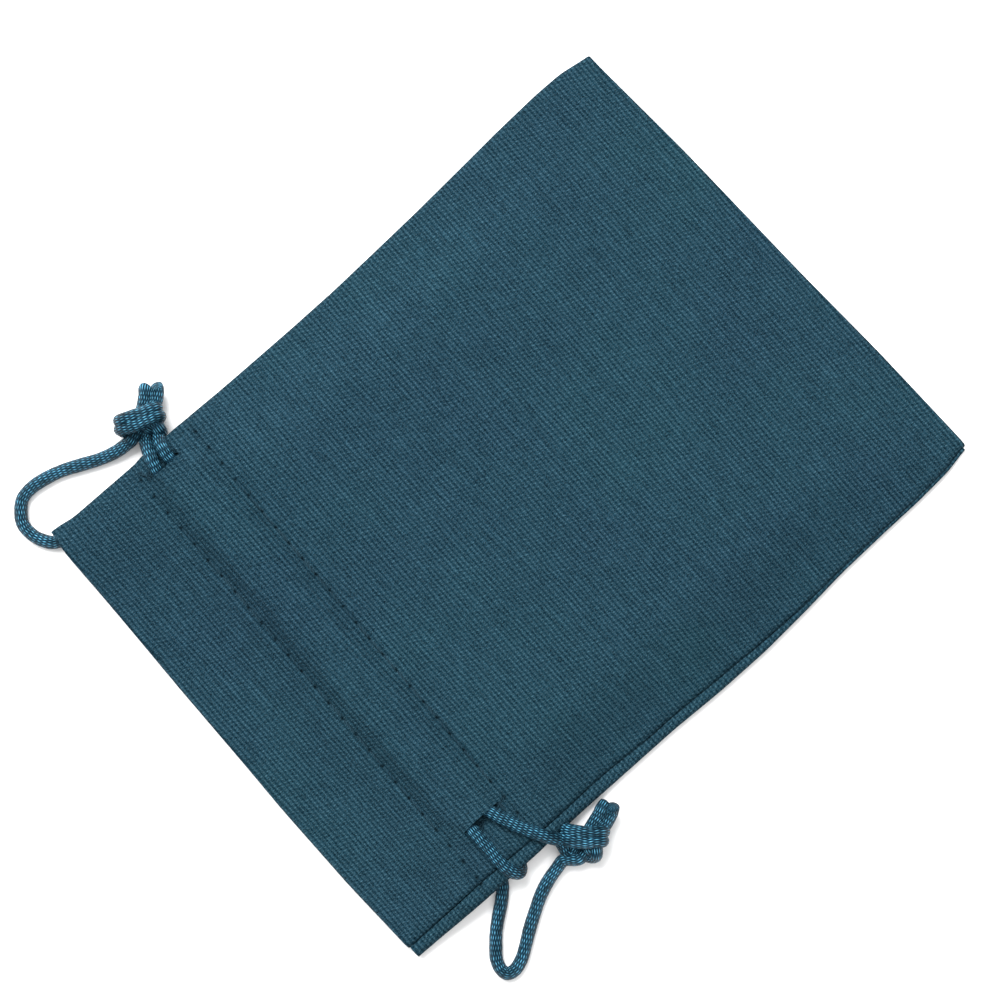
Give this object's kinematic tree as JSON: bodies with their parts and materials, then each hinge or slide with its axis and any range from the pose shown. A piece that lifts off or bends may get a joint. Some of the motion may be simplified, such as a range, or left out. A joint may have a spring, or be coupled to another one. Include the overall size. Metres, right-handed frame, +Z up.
{
  "type": "drawstring gift pouch",
  "caption": "Small flat canvas gift pouch with a sewn hem channel and satin drawcords that cross through side slits and knot at each side.",
  "frame": {"origin": "on the surface the pouch lies on, under the middle of its cloth", "axes": "+Z up out of the front of the pouch, -Y out of the mouth, +Y towards the folded bottom, +X across to the side where the seam is rolled to the front"},
  "size_m": [0.1166, 0.1267, 0.0076],
  "materials": {
    "canvas": "plain-weave cotton canvas, dark petrol blue, matte with a faint fibre sheen",
    "thread": "matte sewing thread, the canvas's colour",
    "satin_cord": "braided satin cord, lighter teal, strong sheen"
  },
  "bodies": {
    "pouch": {"back_panel": "canvas", "back_hem_facing": "canvas", "left_front_border": "canvas", "right_front_border": "canvas", "left_seam_allowance": "canvas", "right_seam_allowance": "canvas", "left_seam_thread": "thread", "right_seam_thread": "thread", "back_upper_stitch_row": "thread", "back_lower_stitch_row": "thread", "left_cord_back_run": "satin_cord", "right_cord_back_run": "satin_cord", "left_cord_bridge": "satin_cord", "right_cord_bridge": "satin_cord"},
    "front_wall": {"front_panel": "canvas", "front_hem_facing": "canvas", "front_upper_stitch_row": "thread", "front_lower_stitch_row": "thread", "left_cord_front_run": "satin_cord", "right_cord_front_run": "satin_cord"},
    "left_drawcord": {"left_cord_front_leg": "satin_cord", "left_cord_loop": "satin_cord", "left_knot": "satin_cord"},
    "right_drawcord": {"right_cord_front_leg": "satin_cord", "right_cord_loop": "satin_cord", "right_knot": "satin_cord"}
  },
  "joints": [
    {"name": "mouth_open", "type": "hinge", "parent": "pouch", "child": "front_wall", "pos_m": [0, 0.0615, 0.0005], "axis": [-1, 0, 0], "range_deg": [0, 8.5]},
    {"name": "left_cord_pull", "type": "slide", "parent": "pouch", "child": "left_drawcord", "axis": [-1, 0, 0], "range_m": [0, 0.02]},
    {"name": "right_cord_pull", "type": "slide", "parent": "pouch", "child": "right_drawcord", "axis": [1, 0, 0], "range_m": [0, 0.02]}
  ]
}
